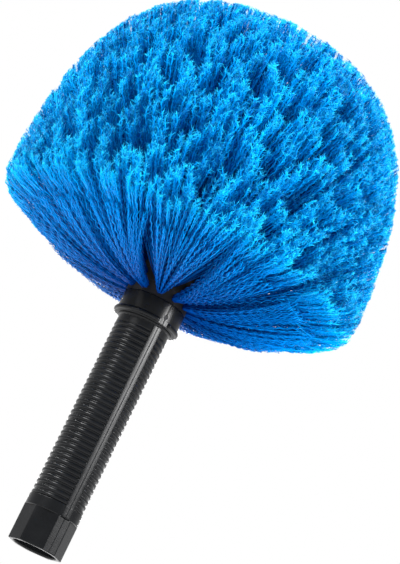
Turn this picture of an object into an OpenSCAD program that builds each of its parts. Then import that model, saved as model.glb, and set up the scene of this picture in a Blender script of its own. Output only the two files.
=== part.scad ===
// Cobweb brush head: a ribbed push-on pole socket, a drilled block pinned in its collar,
// and rows of tufts that fan out into a dome.
// The origin is the centre of the socket's mouth, and +Z runs up the axis to the bristles.

/* [Pole socket] */
// Diameter of the pole that the socket takes
pole_d = 25; // [22:0.5:27]
// Clearance between the pole and the socket's wall, on the radius
pole_gap = 0.1; // [0.05:0.05:0.3]
// Thickness of the wall that stops the pole
stop_wall = 3; // [2:0.5:5]

/* [Faceted end] */
// Length of the faceted end, where a wrench or a hand holds
facet_len = 21; // [15:1:30]
// Wall of the tube at the corners of the facets
corner_wall = 3.15; // [2.6:0.05:4.5]
// Half of the angle that the narrow facet under each land spans
narrow_facet = 15.4; // [12:0.2:22.5]

/* [Grip] */
// Length of the plain band between the facets and the ribs
band_len = 5.5; // [2:0.5:10]
// Wall of the tube at the plain band
band_wall = 2.9; // [2.5:0.05:4]
// Number of ribs
rib_count = 33; // [24:1:34]
// Distance from one rib to the next
rib_pitch = 3.23; // [2.8:0.01:3.4]
// Wall of the tube at the crest of a rib
rib_wall = 2.7; // [2.4:0.05:3.5]
// Depth of the grooves between the ribs
groove_depth = 0.85; // [0.4:0.05:1]
// Share of the pitch that a rib takes up
rib_share = 0.66; // [0.5:0.02:0.8]
// Width of the smooth lands that run up two sides, from the facets to the collar
land_w = 5.8; // [4:0.2:8]
// How far a land stands above the plain band and the rib crests
land_rise = 0.05; // [0.02:0.01:0.2]
// Width of the parting line on each land
seam_w = 0.35; // [0.2:0.05:0.8]
// Height of the parting line
seam_rise = 0.12; // [0.05:0.01:0.3]
// Height and depth of the notch in the narrow facet, just under the land
notch_h = 0.7; // [0.3:0.1:1.5]
notch_depth = 0.5; // [0.2:0.1:0.8]

/* [Collar] */
// Length of the plain neck between the ribs and the collar
neck_len = 5.3; // [3:0.1:8]
// Wall of the tube at the neck
neck_wall = 2.5; // [2.3:0.05:3.5]
// Length of the collar
collar_len = 13.07; // [10:0.01:20]
// Wall of the collar
collar_wall = 5.5; // [4:0.1:7]
// Thickness of the bead at the foot of the collar
bead_d = 2.9; // [2:0.1:3.5]
// How far the bead stands out of the collar
bead_rise = 1.3; // [0.5:0.1:2]
// Thickness of the lesser bead under the collar
foot_bead_d = 2.2; // [1.4:0.1:3]
// How far the lesser bead stands out of the neck
foot_bead_rise = 1.1; // [0.5:0.1:1.6]

/* [Retaining pins] */
// Diameter of the two pins that hold the block in the collar
pin_d = 2; // [1.5:0.1:3]
// Length of a pin
pin_len = 10; // [6:0.5:12]
// Clearance round a pin, on the radius
pin_gap = 0.05; // [0.02:0.01:0.15]
// How far a pin's outer end lies below the collar's surface
pin_recess = 0.4; // [0.1:0.1:1]
// Height of the pins below the collar's top
pin_drop = 8.4; // [5:0.1:9]

/* [Bristle block] */
// Radius of the block
block_r = 18; // [17:0.5:21]
// Height of one row of tufts on the block
row_pitch = 7; // [6:0.5:9]
// Thickness of the block's outer slices, which hold the tufts
slice_t = 2.5; // [2:0.1:3]
// Clearance between the slices and the block inside them, on the radius
slice_gap = 0.05; // [0.02:0.01:0.2]
// Length of the spigot that sits in the collar
spigot_len = 30; // [24:1:30]
// Clearance round the spigot, on the radius
spigot_gap = 0.1; // [0.05:0.05:0.3]
// Clearance below the spigot, above the wall that stops the pole
spigot_end_gap = 0.46; // [0.2:0.02:2]
// Diameter of the holes that the tufts are set in
hole_d = 4.2; // [3.6:0.1:4.4]
// Depth of those holes below the block's surface
hole_depth = 6.5; // [5.5:0.1:7]

/* [Tuft anchors] */
// Thickness of the flat wire that an anchor is cut from
wire_t = 0.4; // [0.3:0.05:0.6]
// Height of the flat wire
wire_h = 1.8; // [1.2:0.1:2.4]
// Clearance round an anchor in its tuft and its hole
anchor_gap = 0.1; // [0.05:0.01:0.2]

/* [Bristles] */
// Radius of the head where it is widest
rim_r = 107.5; // [90:0.5:125]
// Height of that widest ring above the collar's top
rim_lift = 31.5; // [25:0.5:45]
// Height of the dome from the widest ring to its top
crown_h = 138; // [110:1:160]
// How far the rounded rim reaches below the widest ring at most
skirt_h = 14; // [8:1:20]
// Half of a strand's width where it leaves the block
root_r = 0.62; // [0.4:0.02:0.75]
// Half of a strand's width at its tip
tip_r = 3.4; // [2:0.1:4.2]
// Share of a strand's length along which it keeps to its hole's direction
stiffness = 0.45; // [0.3:0.01:0.6]

/* [Hidden] */
$fn = 96;

// A cut runs this far past the face that it opens
over = 1;
// Pieces of one solid run this far into each other
merge = 0.5;

// Radii of the tube, worked out from the socket and the walls round it
socket_r = pole_d / 2 + pole_gap;
corner_r = socket_r + corner_wall;
band_r = socket_r + band_wall;
crest_r = socket_r + rib_wall;
groove_r = crest_r - groove_depth;
land_r = crest_r + land_rise;
neck_r = socket_r + neck_wall;
collar_r = socket_r + collar_wall;

// Heights above the mouth
ribs_z = facet_len + band_len;
neck_z = ribs_z + rib_count * rib_pitch;
collar_z = neck_z + neck_len;
collar_top = collar_z + collar_len;
bead_z = collar_z + bead_d / 2;
foot_bead_z = collar_z - foot_bead_d / 4;
pin_z = collar_top - pin_drop;
spigot_z = collar_top - spigot_len;
well_z = spigot_z - spigot_end_gap;
socket_depth = well_z - stop_wall;
spigot_r = socket_r - spigot_gap;

// The bristle block: three rows stand on its straight side and four on its dome
side_rows = 3;
dome_z = collar_top + side_rows * row_pitch;
core_r = block_r - slice_t - slice_gap;
// Elevations, on the dome, of the edges between the slices and of the rows of holes
slice_edges = [0, 24, 48, 76, 90];
dome_rows = [12, 36, 60, 90];
// The slices lie this far apart
slice_joint = 0.04;

// Number of tufts in each row, and the turn of its first tuft
row_tufts = [12, 12, 12, 12, 9, 6, 1];
row_turn = [0, 15, 0, 15, 10, 0, 0];
// Elevation that each row's holes are drilled at
row_aim = [2, 18, 32, 46, 60, 74, 90];
// Where the lower and the upper strands of each row end on the dome's outline, as angles from
// the widest ring at 0 to the top at 90
tip_levels = [[-30, 1.5], [7, 13], [19.5, 26.5], [34.5, 43.5], [53, 62.5], [72, 80], [88, 88]];
// Strands across a tuft and up it
strands_across = 3;
strands_up = 2;
// Strands of the single tuft at the top, which stand in a ring
top_strands = 6;
top_ring = 1.1;
// Rings of a strand, its sides, and how deep its root lies in the block
strand_rings = 4;
strand_sides = 3;
root_depth = 1.6;
// Distances between the roots of one tuft, and the spread in degrees at which they leave it
root_step = [1.25, 1.3];
root_fan = [16, 14];

function lerp(a, b, t) = a + (b - a) * t;
function unit(v) = v / norm(v);
// A point at an azimuth, a radius and a height
function polar(az, r, z) = [r * cos(az), r * sin(az), z];
// The direction at an azimuth and an elevation, and the two directions square to it
function aim(az, el) = [cos(el) * cos(az), cos(el) * sin(az), sin(el)];
function across(az) = [-sin(az), cos(az), 0];
function up_from(az, el) = aim(az, el + 90);

// Where a hole of a row opens: its radius and height on the block's outline
function hole_r(row) = row <= side_rows ? block_r : block_r * cos(dome_rows[row - side_rows - 1]);
function hole_z(row) = row <= side_rows
    ? collar_top + (row - 0.5) * row_pitch
    : dome_z + block_r * sin(dome_rows[row - side_rows - 1]);
function hole_az(row, k) = row_turn[row - 1] + k * 360 / row_tufts[row - 1];

// The outline that the tips lie on. Above the widest ring it is a full, slightly squared dome,
// and below it a short rounded skirt.
function tip_ring_r(a) = rim_r * pow(cos(a), a < 0 ? 0.5 : 0.57);
function tip_ring_z(a) = collar_top + rim_lift + (a < 0 ? skirt_h * sin(a) : crown_h * pow(sin(a), 0.87));

// Eight-sided outline of the faceted end: a narrow facet under each land and three even ones between
module facet_outline() {
    even = (180 - 2 * narrow_facet) / 3;
    corners = [for (side = [0, 180], k = [0:3]) side - 90 + narrow_facet + k * even];
    polygon([for (a = corners) corner_r * [cos(a), sin(a)]]);
}

// Half outline of the ribbed grip, from the axis out: each rib is a low arc between two grooves
module rib_outline() {
    half = rib_share * rib_pitch / 2;
    arc = [for (t = [0:0.25:1]) 180 * t];
    ribs = [
        for (k = [0:rib_count - 1])
            let (mid = ribs_z + (k + 0.5) * rib_pitch)
                for (a = arc) [groove_r + groove_depth * sin(a), mid - half * cos(a)]
    ];
    polygon(concat([[0, ribs_z - merge], [groove_r, ribs_z - merge]], ribs,
        [[groove_r, neck_z + merge], [0, neck_z + merge]]));
}

// One smooth land with its parting line, up the side that faces -Y, over the band and the grip
module land() {
    low = facet_len - merge;
    intersection() {
        translate([-land_w / 2, -2 * land_r, low])
            cube([land_w, 2 * land_r, collar_z - low + merge]);
        difference() {
            union() {
                cylinder(r = land_r, h = collar_z + 2 * merge);
                cylinder(r = band_r + land_rise, h = ribs_z);
            }
            cylinder(r = groove_r - merge, h = 3 * collar_z, center = true);
        }
    }
    translate([-seam_w / 2, -land_r - seam_rise, ribs_z + merge])
        cube([seam_w, groove_depth, collar_z - ribs_z]);
}

// The notch under the land that faces -Y
module notch() {
    depth = corner_r * cos(narrow_facet) - notch_depth;
    translate([-land_w / 2, -2 * corner_r, facet_len - merge - notch_h])
        cube([land_w, 2 * corner_r - depth, notch_h]);
}

// A rounded bead, of the given outer radius and thickness
module bead(r, d) {
    rotate_extrude() translate([r - d / 2, 0]) circle(d = d, $fn = 32);
}

// The bead at the foot of the collar, cut nearly flush along the lands, and the lesser one under it
module beads() {
    difference() {
        translate([0, 0, bead_z]) bead(collar_r + bead_rise, bead_d);
        for (side = [0, 180])
            rotate(side) translate([-land_w / 2, -2 * collar_r, collar_z - bead_d])
                cube([land_w, collar_r - bead_rise / 4, 3 * bead_d]);
    }
    translate([0, 0, foot_bead_z]) bead(neck_r + foot_bead_rise, foot_bead_d);
}

module handle() {
    color([0.11, 0.12, 0.13]) difference() {
        union() {
            linear_extrude(facet_len) facet_outline();
            translate([0, 0, facet_len - merge]) cylinder(r = band_r, h = band_len + merge);
            rotate_extrude() rib_outline();
            for (side = [0, 180]) rotate(side) land();
            translate([0, 0, neck_z]) cylinder(r = neck_r, h = neck_len + merge);
            translate([0, 0, collar_z]) cylinder(r = collar_r, h = collar_len);
            beads();
        }
        translate([0, 0, -over]) cylinder(r = socket_r, h = socket_depth + over);
        translate([0, 0, well_z]) cylinder(r = socket_r, h = collar_top - well_z + over);
        for (side = [0, 180])
            rotate(side) {
                notch();
                translate([0, 0, pin_z]) rotate([90, 0, 0])
                    cylinder(r = pin_d / 2 + pin_gap, h = collar_r + bead_rise + over, $fn = 32);
            }
    }
}

// A hole or what stands in it, drawn along +Z, laid along the axis of a tuft.
// The drawing's origin goes to the middle of the hole's mouth.
module at_hole(row, k) {
    translate(polar(hole_az(row, k), hole_r(row), hole_z(row)))
        rotate([0, 0, hole_az(row, k)]) rotate([0, 90 - row_aim[row - 1], 0]) children();
}

module at_holes(row) {
    for (k = [0:row_tufts[row - 1] - 1]) at_hole(row, k) children();
}

module bristle_block() {
    color([0.13, 0.13, 0.14]) difference() {
        union() {
            translate([0, 0, spigot_z]) cylinder(r = spigot_r, h = spigot_len + merge);
            translate([0, 0, collar_top]) cylinder(r = core_r, h = dome_z - collar_top);
            intersection() {
                translate([0, 0, dome_z]) sphere(r = core_r);
                translate([0, 0, dome_z - merge]) cylinder(r = block_r, h = block_r);
            }
        }
        for (row = [1:len(row_tufts)])
            at_holes(row) translate([0, 0, -hole_depth])
                cylinder(r = hole_d / 2, h = hole_depth + over, $fn = 32);
        for (side = [0, 180])
            rotate(side) translate([0, 0, pin_z]) rotate([90, 0, 0])
                translate([0, 0, collar_r - pin_recess - pin_len - pin_gap])
                    cylinder(r = pin_d / 2 + pin_gap, h = collar_r, $fn = 32);
    }
}

// A retaining pin, drawn on the side that faces -Y
module retaining_pin() {
    color([0.55, 0.56, 0.58]) translate([0, 0, pin_z]) rotate([90, 0, 0])
        translate([0, 0, collar_r - pin_recess - pin_len])
            cylinder(r = pin_d / 2, h = pin_len, $fn = 32);
}

module retaining_pin_front() retaining_pin();
module retaining_pin_back() rotate(180) retaining_pin();

// The slice of the block's outside that holds one row
module block_slice(row) {
    if (row <= side_rows)
        translate([0, 0, collar_top + (row - 1) * row_pitch + (row > 1 ? slice_joint : 0)])
            difference() {
                cylinder(r = block_r, h = row_pitch - (row > 1 ? slice_joint : 0));
                translate([0, 0, -over]) cylinder(r = block_r - slice_t, h = row_pitch + 2 * over);
            }
    else {
        low = slice_edges[row - side_rows - 1];
        high = slice_edges[row - side_rows];
        gap = slice_joint / block_r * 180 / PI;
        translate([0, 0, dome_z]) rotate_extrude() intersection() {
            difference() {
                circle(r = block_r);
                circle(r = block_r - slice_t);
            }
            polygon([
                [0, 0],
                2 * block_r * [cos(low + gap), sin(low + gap)],
                high < 90 ? 2 * block_r * [cos(high), sin(high)] : [0, 2 * block_r]
            ]);
        }
    }
}

// One strand: a slender three-sided spike that widens to its tip. Its middle line is the parabola
// that leaves the root towards the point bend and ends at the tip.
module strand(root, bend, tip, side) {
    up = unit(cross(tip - root, side));
    centre = [for (i = [0:strand_rings - 1]) let (t = i / (strand_rings - 1))
        (1 - t) * (1 - t) * root + 2 * t * (1 - t) * bend + t * t * tip];
    points = [for (i = [0:strand_rings - 1], k = [0:strand_sides - 1])
        let (a = 90 + k * 360 / strand_sides, r = lerp(root_r, tip_r, i / (strand_rings - 1)))
            centre[i] + r * (cos(a) * side + sin(a) * up)];
    n = strand_sides;
    last = n * (strand_rings - 1);
    walls = [for (i = [0:strand_rings - 2], k = [0:n - 1], half = [0, 1])
        let (a = i * n + k, b = i * n + (k + 1) % n)
            half == 0 ? [a, b + n, b] : [a, a + n, b + n]];
    polyhedron(points, concat([[0, 1, 2]], walls, [[last + 2, last + 1, last]]));
}

// Strand of a tuft at azimuth az. The place in the tuft runs from -0.5 to 0.5 across and up it.
module tuft_strand(row, az, place) {
    el = row_aim[row - 1];
    side = across(az);
    root = polar(az, hole_r(row), hole_z(row)) - root_depth * aim(az, el)
        + place[0] * (strands_across - 1) * root_step[0] * side
        + place[1] * root_step[1] * up_from(az, el);
    tip_a = lerp(tip_levels[row - 1][0], tip_levels[row - 1][1], 0.5 + place[1]);
    tip_az = az + place[0] * 360 / row_tufts[row - 1] * (strands_across - 1) / strands_across;
    tip = polar(tip_az, tip_ring_r(tip_a), tip_ring_z(tip_a));
    leave = aim(az + place[0] * root_fan[0], el + place[1] * root_fan[1]);
    strand(root, root + stiffness * norm(tip - root) * leave, tip, side);
}

module tuft_strands(row) {
    if (row_tufts[row - 1] > 1)
        for (k = [0:row_tufts[row - 1] - 1], i = [0:strands_across - 1], j = [0:strands_up - 1])
            tuft_strand(row, hole_az(row, k), [i / (strands_across - 1) - 0.5, j / (strands_up - 1) - 0.5]);
    else
        for (k = [0:top_strands - 1]) {
            az = k * 360 / top_strands;
            root = polar(az, top_ring, hole_z(row) - root_depth);
            tip_a = tip_levels[row - 1][0];
            tip = polar(az, tip_ring_r(tip_a), tip_ring_z(tip_a));
            strand(root, lerp(root, tip, 0.5), tip, across(az));
        }
}

// A row of tufts: its slice of the block, a packed root in each hole, and the strands
module tuft_row(row) {
    color([0.05, 0.5, 0.86]) {
        difference() {
            union() {
                block_slice(row);
                intersection() {
                    at_holes(row) translate([0, 0, -hole_depth + anchor_gap])
                        cylinder(r = hole_d / 2 - anchor_gap, h = hole_depth, $fn = 32);
                    root_room();
                }
            }
            at_holes(row) anchor_slot();
        }
        tuft_strands(row);
    }
}

// The space inside the block's surface
module root_room() {
    translate([0, 0, collar_top]) cylinder(r = block_r - merge, h = dome_z - collar_top);
    translate([0, 0, dome_z]) sphere(r = block_r - merge);
}

// An anchor: a bit of flat wire that the tuft is folded round, across the bottom of its hole
module anchor() {
    w = hole_d - 4 * anchor_gap;
    translate([-wire_t / 2, -w / 2, -hole_depth + anchor_gap]) cube([wire_t, w, wire_h]);
}

// The cut that parts the two legs of a tuft round its anchor
module anchor_slot() {
    h = wire_h + 2 * anchor_gap + over;
    translate([-wire_t / 2 - anchor_gap, -hole_d, -hole_depth - over])
        cube([wire_t + 2 * anchor_gap, 2 * hole_d, h]);
}

module tuft_anchors(row) {
    color([0.72, 0.73, 0.75]) at_holes(row) anchor();
}

handle();
bristle_block();
retaining_pin_front();
retaining_pin_back();
tuft_row(1);  // tuft_row_1
tuft_row(2);  // tuft_row_2
tuft_row(3);  // tuft_row_3
tuft_row(4);  // tuft_row_4
tuft_row(5);  // tuft_row_5
tuft_row(6);  // tuft_row_6
tuft_row(7);  // tuft_row_7
tuft_anchors(1);  // tuft_anchors_1
tuft_anchors(2);  // tuft_anchors_2
tuft_anchors(3);  // tuft_anchors_3
tuft_anchors(4);  // tuft_anchors_4
tuft_anchors(5);  // tuft_anchors_5
tuft_anchors(6);  // tuft_anchors_6
tuft_anchors(7);  // tuft_anchors_7
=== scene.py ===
"""A cobweb brush head: a black push-on socket and a dome of crimped blue fibre."""
import math

import bpy
import numpy as np
from mathutils import Matrix, Vector


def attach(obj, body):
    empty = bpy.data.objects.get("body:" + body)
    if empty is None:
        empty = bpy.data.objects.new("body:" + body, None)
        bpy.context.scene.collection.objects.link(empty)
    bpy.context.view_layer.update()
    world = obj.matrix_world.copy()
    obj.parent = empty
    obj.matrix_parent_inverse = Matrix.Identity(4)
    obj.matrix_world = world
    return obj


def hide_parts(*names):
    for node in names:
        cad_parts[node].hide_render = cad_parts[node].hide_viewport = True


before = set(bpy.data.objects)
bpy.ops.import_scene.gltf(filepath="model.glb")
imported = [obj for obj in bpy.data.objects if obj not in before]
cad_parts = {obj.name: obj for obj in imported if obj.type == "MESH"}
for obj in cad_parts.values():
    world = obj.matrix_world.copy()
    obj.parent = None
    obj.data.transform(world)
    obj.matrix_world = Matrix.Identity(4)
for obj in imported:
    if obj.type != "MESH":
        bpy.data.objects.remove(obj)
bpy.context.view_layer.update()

mm = 0.001
rng = np.random.default_rng(7)

# Sizes. Heights stand above the socket's mouth, radii round its axis.
socket_r = 12.6 * mm
socket_depth = 118 * mm
well_z = 121 * mm
corner_r = 15.75 * mm
# Half the turn of each of the two facets under the lands, in degrees
narrow_facet = 15.4
facet_edge = 0.12 * mm
facet_len = 20.5 * mm
band_r = 15.5 * mm
ribs_z = 26.5 * mm
rib_count = 33
rib_pitch = 3.23 * mm
rib_share = 0.72
rib_power = 2.3
groove_r = 14.45 * mm
groove_depth = 0.85 * mm
land_r = 15.35 * mm
land_rise = 0.05 * mm
land_w = 5.8 * mm
land_edge = 0.3 * mm
seam_w = 0.35 * mm
seam_rise = 0.09 * mm
notch_h = 0.7 * mm
notch_depth = 0.5 * mm
neck_z = ribs_z + rib_count * rib_pitch
neck_r = 15.1 * mm
collar_z = neck_z + 5.3 * mm
collar_r = 18.1 * mm
bead_r = 1.45 * mm
bead_rise = 1.3 * mm
flush_rise = 0.1 * mm
flush_edge = 1.2 * mm
foot_bead_r = 1.1 * mm
foot_bead_rise = 1.1 * mm
foot_bead_z = collar_z - foot_bead_r / 2
pin_z = 143.06 * mm
pin_hole_r = 1.05 * mm
pin_recess = 0.45 * mm
pin_edge = 0.15 * mm
edge_round = 0.5 * mm
collar_top = 151.46 * mm
block_r = 18 * mm
row_pitch = 7 * mm
side_rows = 3
slice_thickness = 2.5 * mm
slice_joint = 0.04 * mm
slice_edges = [0, 24, 48, 76, 90]
dome_z = collar_top + side_rows * row_pitch
dome_rows = [12, 36, 60, 90]
hole_r = 2.1 * mm
hole_fill = 0.9

row_tufts = [12, 12, 12, 12, 9, 6, 1]
row_turn = [0, 15, 0, 15, 10, 0, 0]
row_aim = [2, 18, 32, 46, 60, 74, 90]
# How far a tuft's outer fibres lean from its hole's direction, in degrees
lean_aside, lean_up, lean_top = 11, 5, 14

# The outline that the fibres end on
rim_r = 107.5 * mm
rim_z = collar_top + 31.5 * mm
crown_h = 138 * mm
skirt_h = 14 * mm
# Share of the way to a fibre's tip over which it keeps its hole's direction
stiffness = 0.45

# Angles on that outline where one row's share ends and the next one's starts
share_edges = [-28, 4, 16, 30, 48, 68, 85, 90]

# Fibres, clumps and lumps. Depths and reaches are shares of the way from the brush's middle.
fibres_in_tuft = [130, 120, 135, 135, 135, 135, 135]
clumps_in_tuft = 36
place_stray = 0.04
gather = 0.75
gather_from = 0.12
open_from, open_to = 0.3, 0.8
root_depth = 1.2 * mm
lump_size = 15 * mm
lump_drift = 0.022
drift_steps = 3
hollow_depth = 0.11
hollow_below, hollow_slope = -0.45, 0.8
reach_high, reach_wander = 1.012, 0.02
cut_high, cut_wander = 1.008, 0.014
fibre_r = 0.21 * mm
crimp_wave = 6 * mm
crimp_rise = 0.55 * mm
crimp_start, crimp_grow = 4 * mm, 8 * mm
sway_stray = 0.35
# Share of a fibre's length, from its root, that lies hidden and is left straight
straight_share = [0, 0.35, 0.74, 0.76, 0.78, 0.78, 0.78]
# How much thicker a row's fibres are at their tips, where each stands for several
tip_widening = [0.15, 0.4, 0.8, 0.8, 0.8, 0.8, 0.8]
splits = 25
split_r = 0.17 * mm
split_lean = 15, 70
split_length = 2 * mm, 4.6 * mm
frizz_depth = 14 * mm
frizz_crowding = 1.7

# Shades run from the darkest at 0 to the lightest at 1, and each of these moves one about
middle_shade = 0.5
clump_shade = 0.22
fibre_shade = 0.14
split_shade = 0.12
# Painted shade: how much darker a fibre is that ends deep in a hollow
hollow_painted_shade = 0.7
# Painted light: how much lighter the lowest fibres of the lowest row are
skirt_painted_light = 0.55
# Painted highlights: how much lighter the crimp's crests are than its troughs
crest_painted_highlight = 0.45
# Share of a split end's colours that its foot runs through, from the deepest to the outermost, so that
# deeper feet are darker, as painted shade
foot_shade_share = 0.65


# Meshes
def mesh_piece(name, points, faces, material, uv=None, smooth=True):
    """A mesh from an array of points and an array of faces with as many corners each. uv, where
    there is one, has a pair of numbers for each point."""
    mesh = bpy.data.meshes.new(name)
    corners = faces.shape[1]
    mesh.vertices.add(len(points))
    mesh.vertices.foreach_set("co", np.ascontiguousarray(points, np.float32).ravel())
    mesh.loops.add(faces.size)
    mesh.loops.foreach_set("vertex_index", np.ascontiguousarray(faces, np.int32).ravel())
    mesh.polygons.add(len(faces))
    mesh.polygons.foreach_set("loop_start", np.arange(0, faces.size, corners, dtype=np.int32))
    mesh.polygons.foreach_set("use_smooth", np.full(len(faces), smooth))
    if uv is not None:
        layer = mesh.uv_layers.new(name="fibre")
        layer.data.foreach_set("uv", uv[faces.ravel()].astype(np.float32).ravel())
    mesh.update()
    mesh.validate()
    piece = bpy.data.objects.new(name, mesh)
    bpy.context.scene.collection.objects.link(piece)
    mesh.materials.append(material)
    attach(piece, "root")
    return piece


def soft_step(x):
    """0 below 0, 1 above 1, and a smooth climb between."""
    x = np.clip(x, 0, 1)
    return x * x * (3 - 2 * x)


def unit(v):
    """Vectors at a length of one."""
    return v / np.linalg.norm(v, axis=-1, keepdims=True)


def aim(az, el):
    """The direction at an azimuth and an elevation in degrees."""
    az, el = np.radians(az), np.radians(el)
    return np.stack([np.cos(el) * np.cos(az), np.cos(el) * np.sin(az), np.sin(el) + 0 * az], -1)


def polar(az, r, z):
    """The point at an azimuth in degrees, a radius and a height."""
    az = np.radians(az)
    return np.stack([r * np.cos(az), r * np.sin(az), z + 0 * az], -1)


def tubes(centre, radius, side):
    """Closed three-sided tubes. centre has the middle line of each tube, ring by ring; radius goes
    with it; side is one direction a tube, roughly square to it. A ring's points stand round its
    middle at a third of a turn each, square to the line's own direction there. A triangle closes
    each end."""
    tubes_n, rings = centre.shape[:2]
    along = unit(np.gradient(centre, axis=1))
    across = side[:, None, :]
    across = unit(across - along * (across * along).sum(-1, keepdims=True))
    up = np.cross(along, across)
    turn = np.arange(3) * 2 * math.pi / 3
    ring = (across[:, :, None] * np.cos(turn)[:, None] + up[:, :, None] * np.sin(turn)[:, None])
    points = centre[:, :, None] + radius[..., None, None] * ring
    index = np.arange(tubes_n * rings * 3).reshape(tubes_n, rings, 3)
    after = np.roll(index, -1, axis=2)
    walls = np.stack([index[:, :-1], after[:, :-1], after[:, 1:], index[:, 1:]], -1).reshape(-1, 4)
    halves = np.concatenate([walls[:, [0, 1, 2]], walls[:, [0, 2, 3]]])
    ends = np.concatenate([index[:, 0, ::-1], index[:, -1, :]]).reshape(-1, 3)
    return points.reshape(-1, 3), np.concatenate([halves, ends])


def outline(a):
    """Radius and height of the brush's outline at an angle: a squared dome above the widest ring
    at 0, where radius goes with the cosine to the power 0.57 and height with the sine to the
    power 0.87, and a short rounded skirt below it."""
    a = np.radians(a)
    cos, sin = np.maximum(np.cos(a), 0), np.sin(a)
    r = rim_r * np.where(a < 0, cos ** 0.5, cos ** 0.57)
    z = rim_z + np.where(a < 0, skirt_h * sin, crown_h * np.abs(sin) ** 0.87)
    return r, z


def shares(row, v):
    """The angles on the outline that part a row's share of it evenly by area, for v from 0 at the
    share's lower edge to 1 at its upper one. Past these, v runs on into the next row's share."""
    a = np.linspace(share_edges[0], share_edges[-1], 1300)
    r, z = outline(a)
    area = (r[1:] + r[:-1]) * np.hypot(np.diff(r), np.diff(z))
    area = np.concatenate([[0], np.cumsum(area)])
    low, high = np.interp(share_edges[row:row + 2], a, area)
    return np.interp(low + v * (high - low), area, a)


def trimmed(points):
    """Points with any that stands outside the outline drawn back to it, towards the middle of the
    widest ring. The cut wanders by a hundredth of the reach, as a hand trim does."""
    a = np.linspace(-89.9, 89.9, 2000)
    r, z = outline(a)
    middle = np.array([0, 0, rim_z])
    away = points - middle
    reach = np.linalg.norm(away, axis=-1)
    slope = np.arctan2(away[..., 2], np.hypot(away[..., 0], away[..., 1]))
    limit = np.interp(slope, np.arctan2(z - rim_z, r), np.hypot(r, z - rim_z))
    limit = limit * (cut_high - cut_wander * rng.random(limit.shape))
    return middle + away * np.minimum(1, limit / reach)[..., None]


def scatter(n, start):
    """n points spread evenly over the unit square, by the two-dimensional golden ratio."""
    k = np.arange(1, n + 1)[:, None]
    return (start + k * np.array([0.7548776662, 0.5698402910])) % 1


def hole(row, az):
    """Middle of a hole's mouth on the block."""
    if row < side_rows:
        return polar(az, block_r, collar_top + (row + 0.5) * row_pitch)
    el = math.radians(dome_rows[row - side_rows])
    return polar(az, block_r * math.cos(el), dome_z + block_r * math.sin(el))


# Materials
def material(name):
    """A new material with its node tree, and that tree's shader."""
    made = bpy.data.materials.new(name)
    made.use_nodes = True
    nodes = made.node_tree.nodes
    return made, nodes, made.node_tree.links, nodes["Principled BSDF"]


def ramp(nodes, stops):
    """A colour ramp through the given places and colours."""
    node = nodes.new("ShaderNodeValToRGB")
    while len(node.color_ramp.elements) < len(stops):
        node.color_ramp.elements.new(0.5)
    for element, (place, colour) in zip(node.color_ramp.elements, stops):
        element.position = place
        element.color = (*colour, 1)
    return node


def moulded_black(name, colour, roughness):
    """Black plastic from a mould: a faint grain, cloudy gloss and greyer scuffs."""
    made, nodes, links, shader = material(name)
    place = nodes.new("ShaderNodeTexCoord")
    grain = nodes.new("ShaderNodeTexNoise")
    grain.inputs["Scale"].default_value = 2600
    grain.inputs["Detail"].default_value = 3
    cloud = nodes.new("ShaderNodeTexNoise")
    cloud.inputs["Scale"].default_value = 60
    cloud.inputs["Detail"].default_value = 5
    bump = nodes.new("ShaderNodeBump")
    bump.inputs["Strength"].default_value = 0.35
    bump.inputs["Distance"].default_value = 0.05 * mm
    shader.inputs["Specular IOR Level"].default_value = 0.105
    tint = ramp(nodes, [(0.3, colour), (0.75, [c * 1.5 + 0.002 for c in colour])])
    gloss = nodes.new("ShaderNodeMapRange")
    gloss.inputs["To Min"].default_value = roughness - 0.07
    gloss.inputs["To Max"].default_value = roughness + 0.1
    links.new(place.outputs["Object"], grain.inputs["Vector"])
    links.new(place.outputs["Object"], cloud.inputs["Vector"])
    links.new(grain.outputs["Fac"], bump.inputs["Height"])
    links.new(bump.outputs["Normal"], shader.inputs["Normal"])
    links.new(cloud.outputs["Fac"], tint.inputs["Fac"])
    links.new(tint.outputs["Color"], shader.inputs["Base Color"])
    links.new(cloud.outputs["Fac"], gloss.inputs["Value"])
    links.new(gloss.outputs["Result"], shader.inputs["Roughness"])
    return made


def drawn_steel(name, colour):
    """Drawn steel wire in the given colour, with fine streaks in its gloss."""
    made, nodes, links, shader = material(name)
    shader.inputs["Metallic"].default_value = 1
    shader.inputs["Base Color"].default_value = (*colour, 1)
    place = nodes.new("ShaderNodeTexCoord")
    streak = nodes.new("ShaderNodeTexNoise")
    streak.inputs["Scale"].default_value = 900
    gloss = nodes.new("ShaderNodeMapRange")
    gloss.inputs["To Min"].default_value = 0.45
    gloss.inputs["To Max"].default_value = 0.6
    links.new(place.outputs["Object"], streak.inputs["Vector"])
    links.new(streak.outputs["Fac"], gloss.inputs["Value"])
    links.new(gloss.outputs["Result"], shader.inputs["Roughness"])
    return made


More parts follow.
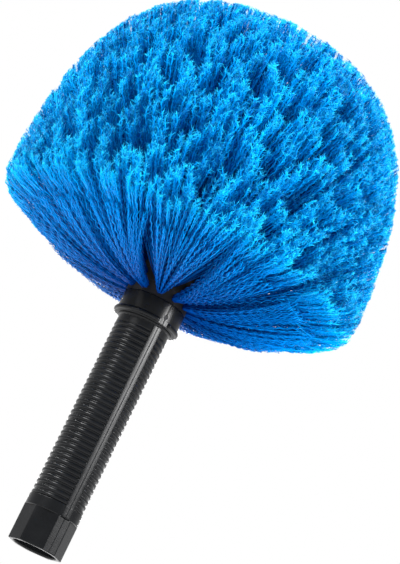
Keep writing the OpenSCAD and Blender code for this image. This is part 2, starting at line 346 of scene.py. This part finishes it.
def crimped_fibre(name, stops, roughness):
    """Blue plastic fibre. Its map runs from root to tip in v, which sets the colour, dark deep in the
    brush as painted shade. u holds each fibre's shade, from a dark navy one at 0 to a light cyan
    one at 1: its own random tone, with painted shade, painted light and painted highlights added."""
    made, nodes, links, shader = material(name)
    shader.inputs["Roughness"].default_value = roughness
    shader.inputs["Specular IOR Level"].default_value = 0.08
    shader.inputs["Specular Tint"].default_value = (0.06, 0.52, 1.0, 1)
    fibre_map = nodes.new("ShaderNodeUVMap")
    fibre_map.uv_map = "fibre"
    split = nodes.new("ShaderNodeSeparateXYZ")
    tint = ramp(nodes, stops)
    # u mixes a dark navy at 0 with a light cyan at 1; the cyan end colours the painted highlights and
    # painted light
    shade = nodes.new("ShaderNodeMix")
    shade.data_type = "RGBA"
    shade.inputs[6].default_value = (0.4, 0.33, 0.47, 1)
    shade.inputs[7].default_value = (1.6, 1.8, 1.5, 1)
    mix = nodes.new("ShaderNodeMix")
    mix.data_type = "RGBA"
    mix.blend_type = "MULTIPLY"
    mix.inputs["Factor"].default_value = 1
    links.new(fibre_map.outputs["UV"], split.inputs["Vector"])
    links.new(split.outputs["Y"], tint.inputs["Fac"])
    links.new(split.outputs["X"], shade.inputs["Factor"])
    links.new(tint.outputs["Color"], mix.inputs[6])
    links.new(shade.outputs[2], mix.inputs[7])
    links.new(mix.outputs[2], shader.inputs["Base Color"])
    return made


handle_black = moulded_black("handle_black", (0.0018, 0.0021, 0.0026), 0.25)
block_black = moulded_black("block_black", (0.005, 0.005, 0.006), 0.5)
wire_steel = drawn_steel("wire_steel", (0.3, 0.3, 0.31))
pin_steel = drawn_steel("pin_steel", (0.012, 0.012, 0.013))
# Both ramps run from dark at v = 0, deep in the brush, to light at v = 1, at its outside: painted shade
# inside the brush
fibre_blue = crimped_fibre("fibre_blue", [
    (0.0, (0.0, 0.022, 0.18)), (0.35, (0.0, 0.066, 0.32)),
    (0.75, (0.0, 0.13, 0.47)), (1.0, (0.0, 0.19, 0.58))], 0.24)
tip_blue = crimped_fibre("tip_blue", [
    (0.0, (0.0, 0.1, 0.41)), (0.6, (0.0, 0.265, 0.64)), (1.0, (0.02, 0.48, 0.82))], 0.35)


# Fibres
waves = 40
lump_waves = unit(rng.normal(size=(waves, 3))) * 2 * math.pi
lump_waves = lump_waves / (lump_size * (0.75 + 0.7 * rng.random((waves, 1))))
lump_phases = 2 * math.pi * rng.random(waves)


def lumps(points):
    """A field of soft lumps and hollows over the brush, and its slope: the mean of many plane waves
    of random directions, with wavelengths about as long as the lumps are wide."""
    phase = points @ lump_waves.T + lump_phases
    scale = math.sqrt(2 / len(lump_waves))
    return np.cos(phase).sum(-1) * scale, -np.sin(phase) @ lump_waves * scale


def tuft(row, az, n):
    """Roots, bends, tips, tip azimuths, clump numbers, depths in a hollow from 0 to 1, and heights
    in the row's share from 0 to 1, of a tuft's n fibres. Each fibre ends at its own place on the
    outline, in its tuft's share of it, and drifts from there towards the nearest lump, so that
    hollows open between the lumps; the fibres there are shorter. It leaves its hole in the hole's
    direction, so its line is the parabola from root to tip that starts towards the bend."""
    turn = 360 / row_tufts[row]
    place = scatter(n, rng.random(2))
    seeds = scatter(clumps_in_tuft, rng.random(2))
    home = ((place[:, None] - seeds[None]) ** 2).sum(-1).argmin(1)
    place = place + rng.normal(0, place_stray, place.shape)
    a = shares(row, place[:, 1])
    if row_tufts[row] == 1:
        tip_az = 360 * place[:, 0]
        out = np.sqrt(np.clip(1 - place[:, 1], 0, 1))
        root = polar(tip_az, out * hole_r * hole_fill, hole(row, 0)[2] - root_depth)
        leave = aim(tip_az, 90 - lean_top * out)
    else:
        tip_az = az + (place[:, 0] - 0.5) * turn
        u, v = 2 * place[:, 0] - 1, 2 * place[:, 1] - 1
        squeeze = hole_r * hole_fill / np.sqrt(1 + np.minimum(u * u, v * v))
        root = (hole(row, az) - root_depth * aim(az, row_aim[row])
                + (u * squeeze)[:, None] * aim(az + 90, 0)
                + (v * squeeze)[:, None] * aim(az, row_aim[row] + 90))
        leave = aim(az + lean_aside * u, row_aim[row] + lean_up * v)
    r, z = outline(a)
    middle = np.array([0, 0, rim_z])
    tip = polar(tip_az, r, z)
    out_way = unit(tip - middle)
    for _ in range(drift_steps):
        height, slope = lumps(tip)
        slope = slope - out_way * (slope * out_way).sum(-1, keepdims=True)
        tip = tip + slope * lump_drift / drift_steps * lump_size ** 2
    height, _ = lumps(tip)
    sunk = soft_step((hollow_below - height) / hollow_slope)
    reach = reach_high - hollow_depth * sunk - reach_wander * rng.random(n)
    tip = middle + (tip - middle) * reach[:, None]
    bend = root + stiffness * np.linalg.norm(tip - root, axis=1)[:, None] * leave
    return root, bend, tip, tip_az, home, sunk, place[:, 1]


def row_fibres(row, n):
    """All fibres of one row: middle lines, radii, colour maps, side directions and shades. A
    clump's fibres are drawn towards their mean between root and tip. The crimp is a zigzag of half
    a wave a ring, which the fibres of one clump carry in step. It starts a little way from the
    root, and until near the tip its crests are painted lighter than its troughs, as painted
    highlights. A fibre's shade is its clump's and its own random tone, with painted light on the
    lowest fibres of the lowest row and painted shade on fibres that end in a hollow."""
    lines, radii, maps, sides, shades = [], [], [], [], []
    length = np.linalg.norm(polar(0, *outline(shares(row, np.array([0.5])))) - hole(row, 0))
    steps = int(length / (crimp_wave / 2))
    first = int(steps * straight_share[row])
    rings = np.concatenate([np.unique(np.linspace(0, first, 1 + min(first, 3)).astype(int))[:-1],
                            np.arange(first, steps + 1)])
    t = rings / steps
    grown = np.clip((rings * crimp_wave / 2 - crimp_start) / crimp_grow, 0, 1)
    zigzag = np.where(rings % 2, 1, -1) * grown
    for k in range(row_tufts[row]):
        az = row_turn[row] + k * 360 / row_tufts[row]
        root, bend, tip, tip_az, home, sunk, place = tuft(row, az, n)
        tt = t[None, :, None]
        centre = ((1 - tt) ** 2 * root[:, None] + 2 * tt * (1 - tt) * bend[:, None]
                  + tt ** 2 * tip[:, None])
        sizes = np.maximum(np.bincount(home, minlength=clumps_in_tuft), 1)
        member = (home[:, None] == np.arange(clumps_in_tuft)) / sizes
        strand = np.einsum("nc,nsk->csk", member, centre)[home]
        hold = gather * soft_step((open_to - tt) / (open_to - open_from)) * soft_step(tt / gather_from)
        centre = centre + hold * (strand - centre)
        sway = unit(rng.normal(size=(clumps_in_tuft, 3)))[home]
        sway = unit(sway + sway_stray * rng.normal(size=sway.shape))
        way = unit(tip - root)
        sway = unit(sway - way * (sway * way).sum(-1, keepdims=True))
        centre = centre + crimp_rise * zigzag[None, :, None] * sway[:, None]
        centre[:, -6:] = trimmed(centre[:, -6:])
        lines.append(centre)
        widen = 0.85 + (0.15 + tip_widening[row]) * t
        radii.append(fibre_r * (0.85 + 0.3 * rng.random(n))[:, None] * widen[None])
        # Painted light: the lowest fibres of the lowest row are made lighter
        skirt = soft_step((0.4 - place) / 0.3) if row == 0 else 0
        shade = middle_shade + skirt_painted_light * skirt + clump_shade * rng.normal(size=clumps_in_tuft)[home]
        # Painted shade: fibres that end deep in a hollow are made darker
        shade = np.clip(shade + fibre_shade * rng.normal(size=n) - hollow_painted_shade * sunk, 0, 1)
        shades.append(shade)
        # Painted highlights: until near the tip the crimp's crests are lighter and its troughs darker
        crest_highlight = crest_painted_highlight * zigzag * np.clip((0.85 - t) / 0.2, 0, 1)
        maps.append(np.stack(np.broadcast_arrays(shade[:, None] + crest_highlight[None], t[None]), -1))
        sides.append(aim(tip_az + 90, 0))
    return tuple(np.concatenate(part) for part in (lines, radii, maps, sides, shades))


def tube_piece(name, centre, radius, side, uv, made, row):
    """A piece of tubes along these middle lines, which stands for its row of tufts."""
    points, faces = tubes(centre, radius, side)
    piece = mesh_piece(name, points, faces, made, np.repeat(uv.reshape(-1, 2), 3, axis=0))
    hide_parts(f"tuft_row_{row + 1}")
    return piece


def split_ends(centre, shade):
    """The frizz: along the last stretch of each fibre finer slivers split off and lean away from
    it. Their depth is a random share of that stretch to a power, so they crowd towards its end.
    Each is a three-sided spike, a ring of three points and one at its tip. v, which sets the
    colour, climbs from the deepest sliver's foot to the outermost one's point, so that deeper
    slivers are darker, as painted shade."""
    tip = np.repeat(centre[:, -1], splits, axis=0)
    way = np.repeat(unit(centre[:, -1] - centre[:, -4]), splits, axis=0)
    n = len(tip)
    back = frizz_depth * rng.random((n, 1)) ** frizz_crowding
    off = rng.normal(size=way.shape)
    off = unit(off - way * (off * way).sum(-1, keepdims=True))
    lean = np.radians(split_lean[0] + (split_lean[1] - split_lean[0]) * rng.random((n, 1)))
    length = split_length[0] + (split_length[1] - split_length[0]) * rng.random((n, 1))
    foot = tip - way * back
    go = way * np.cos(lean) + off * np.sin(lean)
    end = trimmed(foot + go * length)
    across = unit(np.cross(go, way))
    up = np.cross(go, across)
    turn = np.arange(3) * 2 * math.pi / 3
    ring = across[:, None] * np.cos(turn)[:, None] + up[:, None] * np.sin(turn)[:, None]
    points = np.concatenate([foot[:, None] + split_r * ring, end[:, None]], axis=1)
    shape = np.array([(2, 1, 0), (0, 1, 3), (1, 2, 3), (2, 0, 3)])
    faces = (np.arange(n)[:, None, None] * 4 + shape[None]).reshape(-1, 3)
    tone = np.clip(np.repeat(shade, splits)[:, None] + split_shade * rng.normal(size=(n, 1)), 0, 1)
    # Painted shade: a deeper sliver's foot takes a darker colour
    base = foot_shade_share * (1 - back / frizz_depth)
    along = np.concatenate([base, base, base, base + 1 - foot_shade_share], axis=1)
    uv = np.stack([np.broadcast_to(tone, along.shape), along], -1)
    return points.reshape(-1, 3), faces, uv.reshape(-1, 2)


def lathe(name, profile, made, steps=96):
    """A closed ring: a closed outline of radius and height, turned once round the axis."""
    profile = np.asarray(profile, float)
    turn = np.arange(steps) * 2 * math.pi / steps
    points = np.stack([profile[:, None, 0] * np.cos(turn), profile[:, None, 0] * np.sin(turn),
                       profile[:, None, 1] + 0 * turn], -1)
    index = np.arange(points.shape[0] * steps).reshape(-1, steps)
    ahead = np.roll(index, -1, axis=1)
    faces = np.stack([index, ahead, np.roll(ahead, -1, axis=0), np.roll(index, -1, axis=0)], -1)
    return mesh_piece(name, points.reshape(-1, 3), faces.reshape(-1, 4), made, smooth=False)


def block_slice(row):
    """The ring of the block's outside that one row of tufts stands in."""
    if row < side_rows:
        low = collar_top + row * row_pitch + (slice_joint if row else 0)
        high = collar_top + (row + 1) * row_pitch
        inner = block_r - slice_thickness
        return [(inner, low), (block_r, low), (block_r, high), (inner, high)]
    a = np.radians(np.linspace(slice_edges[row - side_rows], slice_edges[row - side_rows + 1], 9))
    outer = [(block_r * math.cos(x) + 1e-6, dome_z + block_r * math.sin(x)) for x in a]
    inner_r = block_r - slice_thickness
    inner = [(inner_r * math.cos(x) + 1e-6, dome_z + inner_r * math.sin(x)) for x in a[::-1]]
    return outer + inner


# The two lowest rows show most of their length and have the most rings, so each is in two halves
halved_rows = 2
for row, n in enumerate(fibres_in_tuft):
    centre, radius, uv, side, shade = row_fibres(row, n)
    tags = ["_a", "_b"] if row < halved_rows else [""]
    for tag, pick in zip(tags, np.array_split(np.arange(len(centre)), len(tags))):
        tube_piece(f"fibres_row_{row + 1}{tag}", centre[pick], radius[pick], side[pick],
                   uv[pick], fibre_blue, row)
    points, faces, split_map = split_ends(centre, shade)
    ends = mesh_piece(f"split_ends_row_{row + 1}", points, faces, tip_blue, split_map)
    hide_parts(f"tuft_row_{row + 1}")
    base = lathe(f"block_slice_{row + 1}", block_slice(row), block_black)
    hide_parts(f"tuft_row_{row + 1}")


# Socket moulding
def tube_radius(z, turn):
    """Outer radius of the socket moulding over height and turn. The faceted end is the least of
    eight flats, each at its distance over the cosine of the turn from its middle, blended a little
    at the corners; the grip's ribs are low arcs over a groove; a smooth land with a parting line
    runs up the -Y and +Y sides from a notch in the facets; and the collar is a cylinder with a
    round bead at its foot, cut nearly flush across the lands, a lesser bead under it and a pin's
    hole near its top."""
    even = (180 - 2 * narrow_facet) / 6
    far_off = 1
    flats = []
    for side in (-90, 90):
        wide = [(side + narrow_facet + (2 * k + 1) * even, even) for k in range(3)]
        for middle, half in [(side, narrow_facet)] + wide:
            lean = np.cos(turn - math.radians(middle))
            flat = corner_r * math.cos(math.radians(half)) / np.maximum(lean, 0.3)
            flats.append(np.where(lean > 0.3, flat, far_off))
    flats = np.stack(flats)
    least = flats.min(0)
    facet = least - facet_edge / 2 * np.log(np.exp((least - flats) / facet_edge).sum(0))

    place = (z - ribs_z) / rib_pitch % 1 - 0.5
    rib = groove_r + groove_depth * np.sqrt(np.clip(1 - np.abs(place / (rib_share / 2)) ** rib_power, 0, 1))
    radius = np.where(z < facet_len, facet, band_r)
    in_grip = (z > ribs_z) & (z < neck_z)
    radius = np.where(in_grip, rib, radius)
    radius = np.where(z >= neck_z, neck_r, radius)

    aside = np.abs(np.cos(turn)) * land_r
    land = soft_step((land_w / 2 + land_edge / 2 - aside) / land_edge)
    has_land = (z > facet_len) & (z < collar_z)
    top = np.where(z > ribs_z, land_r, band_r + land_rise)
    radius = np.where(has_land, np.maximum(radius, radius + (top - radius) * land), radius)
    notch = (z > facet_len - notch_h) & (z < facet_len)
    radius = np.where(notch, radius - notch_depth * land, radius)

    on_collar = z >= collar_z
    corner = np.clip((z - (collar_top - edge_round)) / edge_round, 0, 1)
    collar = collar_r - edge_round * (1 - np.sqrt(1 - corner ** 2))
    inside = np.clip(bead_r ** 2 - (z - collar_z - bead_r) ** 2, 0, None)
    bead = collar_r + bead_rise - bead_r + np.sqrt(inside)
    flush = soft_step((land_w / 2 + flush_edge / 2 - aside) / flush_edge)
    bead = bead + (np.minimum(bead, collar_r + flush_rise) - bead) * flush
    collar = np.where(inside > 0, np.maximum(collar, bead), collar)
    inside = np.clip(foot_bead_r ** 2 - (z - foot_bead_z) ** 2, 0, None)
    foot = neck_r + foot_bead_rise - foot_bead_r + np.sqrt(inside)
    radius = np.where(inside > 0, np.maximum(radius, foot), radius)
    radius = np.where(on_collar, collar, radius)

    seam = np.exp(-(aside / (seam_w / 2)) ** 2)
    radius = radius + seam_rise * seam * (z < collar_top - 1 * mm)
    off = np.hypot(aside * collar_r / land_r, z - pin_z)
    return radius - pin_recess * soft_step((pin_hole_r - off) / pin_edge + 0.5)


def socket_moulding():
    """One closed surface over height and turn: up the outside by tube_radius, over the collar's
    top, and down the two bores, each closed at its end on the axis."""
    # Columns, in degrees: close together over each land, one on either side of each facet's
    # corner, and evenly spread between the lands
    off_land = [0, 0.35, 0.8, 1.3, 1.9, 2.5, 3, 3.4, 3.9, 5, 7, 9, 10.2, 10.7, 11.1, 11.6, 13]
    lands = np.array([middle + k * a for middle in (-90, 90) for a in off_land for k in (-1, 1)])
    corner = 30 - narrow_facet / 3
    corners = (-90 + narrow_facet, -corner, corner, 90 - narrow_facet)
    corners = np.array([a + k for a in corners for k in (-0.8, 0.8)])
    turn = np.concatenate([lands, corners, corners + 180,
                           np.linspace(-72, 72, 24), np.linspace(108, 252, 24)])
    turn = np.radians(np.unique(np.round(turn, 4)))

    # Rows: shares of a rib's pitch, sines round a bead, and a pair at each sharp step
    fine = 0.02 * mm
    rib = np.array([-0.5, -0.375, -0.355, -0.33, -0.27, -0.17, 0, 0.17, 0.27, 0.33, 0.355, 0.375]) + 0.5
    ribs = (ribs_z + (np.arange(rib_count)[:, None] + rib[None]) * rib_pitch).ravel()
    ring = np.sin(np.radians([-88, -80, -70, -58, -45, -30, -15, 0, 15, 30, 45, 58, 70, 80, 88]))
    heights = np.concatenate([
        [0.25 * mm, 0.6 * mm], np.linspace(1.2 * mm, facet_len - 0.9 * mm, 7),
        facet_len + np.array([-0.72, -0.69, -0.2, 0, 0.01, 0.2, 0.6]) * mm - fine / 2,
        np.linspace(facet_len + 1.5 * mm, ribs_z - 0.6 * mm, 4), [ribs_z - 0.2 * mm, ribs_z],
        ribs[1:], [neck_z, neck_z + 0.2 * mm], np.linspace(neck_z + 1 * mm, foot_bead_z - 1.3 * mm, 4),
        foot_bead_z + foot_bead_r * ring[:11], [collar_z - fine, collar_z],
        collar_z + bead_r * (1 + ring), collar_z + 2 * bead_r + np.array([0.1, 0.3]) * mm,
        pin_z + np.linspace(-1.15, 1.15, 15) * mm, np.linspace(pin_z + 1.8 * mm, collar_top - 1.2 * mm, 4),
        collar_top - edge_round * (1 - np.sin(np.radians([-30, 0, 20, 40, 60, 78, 90])))])
    heights = np.unique(heights)
    outside = tube_radius(heights[:, None], turn[None])
    mouth = tube_radius(np.array([[0.6 * mm]]), turn[None])

    def level(radius, z):
        return np.full(len(turn), radius), np.full(len(turn), z)

    rows = [level(0.01 * mm, socket_depth), level(socket_r, socket_depth),
            level(socket_r, socket_depth - 1 * mm), level(socket_r, 1.2 * mm),
            level(socket_r + 0.05 * mm, 0.5 * mm), level(socket_r + 0.3 * mm, 0.08 * mm),
            level(socket_r + 0.6 * mm, 0), (mouth[0] - 0.45 * mm, np.zeros(len(turn))),
            (mouth[0] - 0.12 * mm, np.full(len(turn), 0.08 * mm))]
    rows += [(r, np.full(len(turn), z)) for r, z in zip(outside, heights)]
    rows += [level(socket_r + 0.3 * mm, collar_top), level(socket_r, collar_top - 0.3 * mm),
             level(socket_r, well_z), level(0.01 * mm, well_z)]
    radius, z = np.array([r for r, _ in rows]), np.array([h for _, h in rows])
    points = np.stack([radius * np.cos(turn), radius * np.sin(turn), z], -1)
    count = len(turn)
    index = np.arange(len(rows) * count).reshape(-1, count)
    ahead = np.roll(index, -1, axis=1)
    walls = np.stack([index[:-1], ahead[:-1], ahead[1:], index[1:]], -1).reshape(-1, 4)
    halves = np.concatenate([walls[:, [0, 1, 2]], walls[:, [0, 2, 3]]])
    poles = len(rows) * count + np.arange(2)
    lids = np.concatenate([
        np.stack([np.full(count, poles[0]), ahead[0], index[0]], -1),
        np.stack([np.full(count, poles[1]), index[-1], ahead[-1]], -1)])
    points = np.concatenate([points.reshape(-1, 3), [(0, 0, socket_depth), (0, 0, well_z)]])
    piece = mesh_piece("socket_moulding", points, np.concatenate([halves, lids]), handle_black)
    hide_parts("handle")
    return piece


socket_moulding()


# Carried-over nodes
def dress(node, made):
    """Gives a CAD node's object a material."""
    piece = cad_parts[node]
    if not piece.material_slots:
        piece.data.materials.append(made)
    for held in piece.material_slots:
        held.material = made


dress("bristle_block", block_black)
for node in ("retaining_pin_front", "retaining_pin_back"):
    dress(node, pin_steel)
for row in range(len(row_tufts)):
    dress(f"tuft_anchors_{row + 1}", wire_steel)


# Floor, light and camera
def stage_floor():
    """A pale floor well below the head, which is shown as on its pole, raised. The camera sees it
    darker than it is and glowing a little, so that it is pale far off, where no lamp reaches, and
    the head's shadow shows near by. It throws light back on the head as a plain pale floor."""
    size = 20
    floor_z = -0.2
    mesh = bpy.data.meshes.new("floor")
    mesh.from_pydata([(-size, -size, floor_z), (size, -size, floor_z),
                      (size, size, floor_z), (-size, size, floor_z)], [], [(0, 1, 2, 3)])
    floor = bpy.data.objects.new("floor", mesh)
    bpy.context.scene.collection.objects.link(floor)
    made, nodes, links, shader = material("pale_floor")
    shader.inputs["Emission Color"].default_value = (0.6, 0.6, 0.6, 1)
    rays = nodes.new("ShaderNodeLightPath")
    seen = nodes.new("ShaderNodeMath")
    seen.operation = "MAXIMUM"
    links.new(rays.outputs["Is Camera Ray"], seen.inputs[0])
    links.new(rays.outputs["Is Glossy Ray"], seen.inputs[1])
    links.new(seen.outputs["Value"], shader.inputs["Emission Strength"])
    tone = nodes.new("ShaderNodeMix")
    tone.data_type = "RGBA"
    tone.inputs[6].default_value = (0.86, 0.86, 0.86, 1)
    tone.inputs[7].default_value = (0.13, 0.13, 0.13, 1)
    links.new(rays.outputs["Is Camera Ray"], tone.inputs["Factor"])
    links.new(tone.outputs[2], shader.inputs["Base Color"])
    shader.inputs["Roughness"].default_value = 0.9
    shader.inputs["Specular IOR Level"].default_value = 0.1
    mesh.materials.append(made)


def lamp(name, place, target, width, height, power):
    """An oblong soft lamp that faces its target."""
    data = bpy.data.lights.new(name, "AREA")
    data.shape = "RECTANGLE"
    data.size, data.size_y = width, height
    data.energy = power
    made = bpy.data.objects.new(name, data)
    bpy.context.scene.collection.objects.link(made)
    made.location = place
    made.rotation_euler = (Vector(target) - Vector(place)).to_track_quat("-Z", "Y").to_euler()
    return made


def white_world(strength):
    """A white surround that lights the object less than it shows."""
    world = bpy.data.worlds.new("surround")
    bpy.context.scene.world = world
    world.use_nodes = True
    nodes, links = world.node_tree.nodes, world.node_tree.links
    nodes.clear()
    out = nodes.new("ShaderNodeOutputWorld")
    seen = nodes.new("ShaderNodeBackground")
    seen.inputs["Color"].default_value = (1, 1, 1, 1)
    seen.inputs["Strength"].default_value = 1
    light = nodes.new("ShaderNodeBackground")
    light.inputs["Color"].default_value = (1, 1, 1, 1)
    light.inputs["Strength"].default_value = strength
    rays = nodes.new("ShaderNodeLightPath")
    seen_by = nodes.new("ShaderNodeMath")
    seen_by.operation = "MAXIMUM"
    seen_in = nodes.new("ShaderNodeMath")
    seen_in.operation = "MAXIMUM"
    mix = nodes.new("ShaderNodeMixShader")
    links.new(rays.outputs["Is Camera Ray"], seen_by.inputs[0])
    links.new(rays.outputs["Is Glossy Ray"], seen_by.inputs[1])
    links.new(seen_by.outputs["Value"], seen_in.inputs[0])
    links.new(rays.outputs["Is Transmission Ray"], seen_in.inputs[1])
    links.new(seen_in.outputs["Value"], mix.inputs["Fac"])
    links.new(light.outputs["Background"], mix.inputs[1])
    links.new(seen.outputs["Background"], mix.inputs[2])
    links.new(mix.outputs["Shader"], out.inputs["Surface"])


stage_floor()
white_world(0.34)
# The photograph's camera stands 30 degrees round from -Y
camera_turn = math.radians(30)
camera_side = Vector((math.cos(camera_turn), -math.sin(camera_turn), 0))
towards = Vector((-math.sin(camera_turn), -math.cos(camera_turn), 0))
head = Vector((0, 0, 0.18))
lamp_distance = 1.25
# Each lamp's direction from the head, as steps along the camera's side, towards it and up, then
# its width, height and power
lamps = {
    "right_front": ((0.87, 0.50, 0.24), 0.55, 0.25, 33),
    "left_front": ((-0.77, 0.64, 0.48), 0.45, 0.17, 32),
    "left_rear": ((-0.8, -0.5, 0.95), 0.32, 0.32, 10),
    "right_rear": ((0.8, -0.5, 0.95), 0.32, 0.32, 9),
    "behind": ((0, -1, 0.15), 0.32, 0.32, 8),
    "above": ((-0.15, 0.35, 1.2), 0.32, 0.32, 14),
}
for name, ((aside, near, high), width, height, power) in lamps.items():
    place = head + (camera_side * aside + towards * near + Vector((0, 0, high))) * lamp_distance
    lamp(name, place, head, width, height, power)


def photo_camera():
    """The photograph's camera: 1.1 m off, 141 mm below the socket's mouth, looking 16 degrees up,
    and rolled by 25.9 degrees, so that the head leans to the upper right."""
    distance, side_shift, height = 1.1, 17.3 * mm, -141.2 * mm
    tilt, roll = math.radians(16), math.radians(25.88)
    forward = -towards * math.cos(tilt) + Vector((0, 0, math.sin(tilt)))
    plain_up = camera_side.cross(forward)
    right = camera_side * math.cos(roll) + plain_up * math.sin(roll)
    up = plain_up * math.cos(roll) - camera_side * math.sin(roll)
    data = bpy.data.cameras.new("photo_camera")
    data.sensor_width = 36
    focal_pixels, photo_height = 2050, 564
    data.lens = focal_pixels / photo_height * data.sensor_width
    data.clip_start = 0.01
    data.clip_end = 50
    camera = bpy.data.objects.new("photo_camera", data)
    bpy.context.scene.collection.objects.link(camera)
    turn = Matrix((right, up, -forward)).transposed().to_4x4()
    camera.matrix_world = Matrix.Translation(towards * distance + camera_side * side_shift
                                             + Vector((0, 0, height))) @ turn
    bpy.context.scene.camera = camera


photo_camera()
bpy.context.scene.view_settings.view_transform = "Standard"
